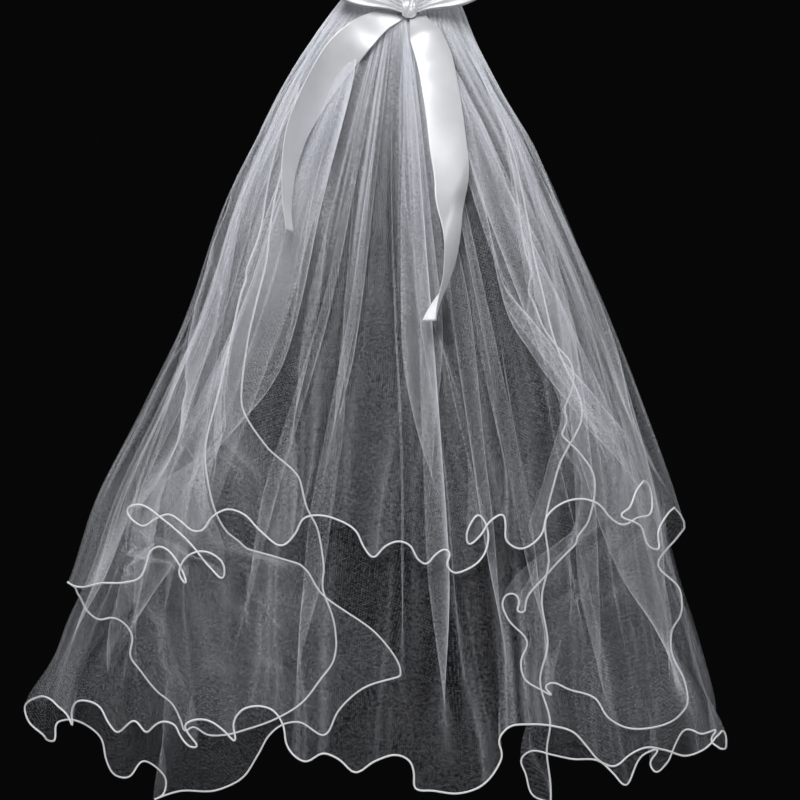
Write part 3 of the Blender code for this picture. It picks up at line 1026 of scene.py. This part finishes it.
@dataclass
class Bow:
    """The satin ribbon bow: two loops, a knot and two tails."""

    form: VeilForm
    ribbon: float = 42.0
    knot_x: float = 8.0
    knot_drop: float = 18.0
    loop_start: float = 6.6
    loop_reach: float = 75.6
    loop_rise: float = 34.0
    loop_depth: float = 9.5
    loop_stand: float = 13.5
    loop_pinch: float = 12.0
    folds_stand: float = 8.0
    veil_slope: float = 0.25
    wall: float = 0.5
    left_tail: tuple[Section, ...] = named_rows(
        Section,
        (24, -1, 13, 0, 1.7, 2),
        (32, -23, 25, -2, 5, 3),
        (49, -46, 36, -12, 13, 3),
        (77, -72, 42, -32, 10, 3),
        (119, -98, 42, -50, 16, 2),
        (161, -116, 42, -62, 26, 1),
        (204, -124, 42, -73, 27, 1),
        (234, -125, 42, -78, 27, 1),
        (264, -122, 42, -80, 27, 1),
    )
    right_tail: tuple[Section, ...] = named_rows(
        Section,
        (25, 16, 15, 0, 1.7, 2),
        (35, 20, 25, -2, 11, -3),
        (49, 26, 37, -5, 16.5, -3),
        (80, 37, 42, -13, 10, -2),
        (108, 42, 42, -16, 5, -2),
        (135, 46, 42, -15, 8, -2),
        (170, 50, 42, -12, 13, -1.4),
        (215, 55, 42, -20, 18, 1),
        (248, 55, 42, -60, 21, 1),
        (282, 54, 42, -68, 23, 1),
        (315, 50, 42, -79, 23, 1),
        (337, 43, 42, -93, 23, 1),
        (362, 33, 42, -128, 23, 1),
    )

    def veil_back(self, drop: float, x: float) -> float:
        """The y of the upper tier's back, where its folds stand out."""
        stand = self.folds_stand * float(ease((drop - self.knot_drop) / 200.0))
        return self.form.back(drop, x, float(self.form.size("gap", drop)) + 0.6 + stand)

    def strip(self, name: str, points: np.ndarray, width: np.ndarray) -> bpy.types.Object:
        """Makes a strip of ribbon with its thickness.

        Args:
            name: The piece's name.
            points: Rows along the ribbon and columns across it, in millimetres.
            width: The flat ribbon's places across, in millimetres.

        Returns:
            The object.
        """
        along = path_lengths(points[:, points.shape[1] // 2])
        cloth = np.stack(np.broadcast_arrays(width[None, :], along[:, None]), axis=-1)
        made = Piece.grid(name, points, cloth)
        edge = ease((np.abs(width) / np.abs(width).max() - 0.93) / 0.05)
        Piece.number(made, "edge", np.broadcast_to(edge[None, :], points.shape[:2]))
        solid = made.modifiers.new("Thickness", "SOLIDIFY")
        solid.thickness = self.wall * MM
        solid.offset = 0.0
        return made

    def tail(
        self, name: str, sections: tuple[Section, ...], slant: float
    ) -> bpy.types.Object:
        """Builds a hanging ribbon end.

        Args:
            name: The piece's name.
            sections: The tail's sections.
            slant: How much sooner the turn comes at the right edge than in the middle.

        Returns:
            The object.
        """
        drops = np.linspace(sections[0].drop, sections[-1].drop, 161)
        x, width, stand, cup = (
            smooth(sections, column, drops) for column in ("x", "width", "stand", "cup")
        )
        y = np.array([self.veil_back(d, p) for d, p in zip(drops, x, strict=True)]) - stand
        middle = np.stack((x, y, -drops), axis=-1)
        along = np.gradient(middle, axis=0)
        spread = np.linspace(-1.0, 1.0, 33)
        step = width / (len(spread) - 1)
        rows = []
        for i, place in enumerate(middle):
            way = Vector(along[i]).normalized()
            flat = Vector((0, -1, self.veil_slope)).cross(way).normalized()
            out = way.cross(flat)
            turns = np.radians(smooth(sections, "turn", drops[i] + slant * spread))
            turns = turns + np.radians(spread * cup[i] * 5)
            ways = np.outer(np.cos(turns), np.array(flat)) + np.outer(np.sin(turns), np.array(out))
            path = np.cumsum((ways[1:] + ways[:-1]) / 2 * step[i], axis=0)
            path = np.concatenate((np.zeros((1, 3)), path))
            path = path - path[len(spread) // 2]
            level = ease((drops[i] - drops[-1]) / 50.0 + 1.0)
            rows.append(place + path - np.outer(path[:, 2] * level / way.z, np.array(way)))
        return self.strip(name, np.array(rows), spread * self.ribbon / 2)

    def loop(self, name: str, side: int) -> bpy.types.Object:
        """Builds one loop of the bow.

        Args:
            name: The piece's name.
            side: -1 for the left loop and 1 for the right one.

        Returns:
            The object.
        """
        turns = np.linspace(0.045, 0.955, 121)[:, None] * 2 * math.pi
        out = (1 - np.cos(turns)) / 2
        half = (self.loop_pinch + (self.ribbon - self.loop_pinch) * ease(out / 0.8)) / 2
        height = np.linspace(-1.0, 1.0, 25)[None, :]
        x = self.knot_x + side * (self.loop_start + self.loop_reach * out + 0 * height)
        z = -self.knot_drop + self.loop_rise * out + half * height
        middle = self.veil_back(self.knot_drop, self.knot_x) - self.loop_stand
        y = middle - self.loop_depth * np.sin(turns) * (0.4 + 0.6 * np.sqrt(out)) + 0 * height
        crease = np.cos(height * 9.5 + 1.1 * np.sign(np.sin(turns))) * 1.7 * ease(1 - out / 0.75)
        y = y + crease * ease(out / 0.05)
        points = np.stack(np.broadcast_arrays(x, y, z), axis=-1)
        return self.strip(name, points, height[0] * self.ribbon / 2)

    def knot(self) -> bpy.types.Object:
        """Builds the band of ribbon drawn round the middle of the bow."""
        lows, highs = (np.array(corner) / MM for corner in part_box("bow_knot"))
        centre, half = (lows + highs) / 2, (highs - lows) / 2
        turns = np.linspace(0, 2 * math.pi, 73)
        across = np.linspace(-1.0, 1.0, 25)
        rows = []
        for turn in turns:
            slant = math.sin(turn)
            crease = np.exp(-(((across - 0.45 * slant - 0.1) / 0.2) ** 2))
            pinch = 1 - 0.1 * (1 - across**2) + 0.05 * np.cos(across * 9 + 2 * slant)
            pinch = pinch - 0.24 * crease * ease(math.cos(turn))
            round_off = 1 - 0.26 * np.abs(across) ** 4
            x = centre[0] + across * half[0] * (0.9 + 0.06 * slant)
            y = centre[1] - half[1] * np.cos(turn) * round_off * pinch
            z = centre[2] + half[2] * np.sin(turn) * round_off * (1 - 0.1 * across**2)
            rows.append(np.stack(np.broadcast_arrays(x, y, z), axis=-1))
        return self.strip("bow_knot_band", np.array(rows), across * 12)

    def build(self, satin: bpy.types.Material) -> None:
        """Args:
            satin: The ribbon's material.
        """
        Piece.dress(self.knot(), satin, "satin", "bow_knot")
        made = (
            ("bow_loop_left", self.loop("bow_loop_left_ribbon", -1), 0.165),
            ("bow_loop_right", self.loop("bow_loop_right_ribbon", 1), 0.165),
            ("ribbon_tail_left", self.tail("ribbon_tail_left_ribbon", self.left_tail, 8), 0.29),
            ("ribbon_tail_right", self.tail("ribbon_tail_right_ribbon", self.right_tail, 42), 0.36),
        )
        for node, piece, length in made:
            Piece.dress(piece, satin, "satin", node)


@dataclass(frozen=True)
class Comb:
    """The hair comb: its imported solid, in moulded plastic."""

    def build(self, plastic: bpy.types.Material) -> None:
        """Gives the comb its finish."""
        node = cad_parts["comb"]
        obj = node if isinstance(node, bpy.types.Object) else bpy.data.objects["comb"]
        obj.data.materials.clear()
        obj.data.materials.append(plastic)
        LOG.info("comb: %d faces", len(obj.data.polygons))


@dataclass(frozen=True)
class Lamp:
    """A soft area light, aimed at the veil."""

    name: str
    place: tuple[float, float, float]
    size: float
    watts: float

    def build(self, target: Vector) -> None:
        """Adds the light, turned to the target."""
        data = bpy.data.lights.new(self.name, "AREA")
        data.shape = "SQUARE"
        data.size = self.size
        data.energy = self.watts
        lamp = linked(self.name, data)
        lamp.location = Vector(self.place)
        lamp.rotation_euler = (target - lamp.location).to_track_quat("-Z", "Y").to_euler()


@dataclass(frozen=True)
class Studio:
    """Plain soft studio light, a pale floor under the hanging veil and a dark room."""

    floor_drop: float = 1.62
    floor_half: float = 3.0
    room: tuple[float, float, float] = (0.0022, 0.0022, 0.0023)
    lamps: tuple[Lamp, ...] = (
        Lamp(name="key", place=(-0.4, -2.1, 1.2), size=1.1, watts=62.0),
        Lamp(name="fill", place=(1.9, -2.2, 0.7), size=1.8, watts=13.0),
        Lamp(name="rim_left", place=(-1.8, 1.2, 0.9), size=1.2, watts=31.0),
        Lamp(name="rim_right", place=(1.8, 1.2, 0.8), size=1.2, watts=19.0),
    )

    def build(self, floor: bpy.types.Material) -> None:
        """Adds the floor, the lights and the room's tone.

        Args:
            floor: The floor's material.
        """
        half, z = self.floor_half, -self.floor_drop
        corners = [(-half, -half, z), (half, -half, z), (half, half, z), (-half, half, z)]
        mesh = bpy.data.meshes.new("floor")
        mesh.from_pydata(corners, [], [(0, 1, 2, 3)])
        mesh.materials.append(floor)
        linked("floor", mesh)
        for lamp in self.lamps:
            lamp.build(Vector((0, 0, -0.3)))
        scene = bpy.context.scene
        world = bpy.data.worlds.new("room")
        world.use_nodes = True
        world.node_tree.nodes["Background"].inputs["Color"].default_value = (*self.room, 1.0)
        scene.world = world
        scene.cycles.transparent_max_bounces = 64
        scene.cycles.max_bounces = 4
        scene.cycles.diffuse_bounces = 2
        scene.view_settings.view_transform = "Standard"


def main() -> None:
    """Builds the camera, the veil's pieces and the studio."""
    logging.basicConfig(level=logging.INFO, format="%(name)s: %(message)s")
    view, form = PhotoView(), VeilForm()
    view.build()
    tulle = TulleFinish().material()
    cord = CordFinish().material()
    tiers = (
        Tier("lower_tier", form, view, 0.0, LOWER_HEM, LOWER_EDGES, LOWER_FOLDS, seed=3),
        Tier("upper_tier", form, view, 1.0, UPPER_HEM, UPPER_EDGES, UPPER_FOLDS, seed=4),
    )
    for tier in tiers:
        tier.build(tulle, cord)
    Bow(form).build(SatinFinish().material())
    Comb().build(CombFinish().material())
    Studio().build(FloorFinish().material())


if __name__ == "__main__":
    main()
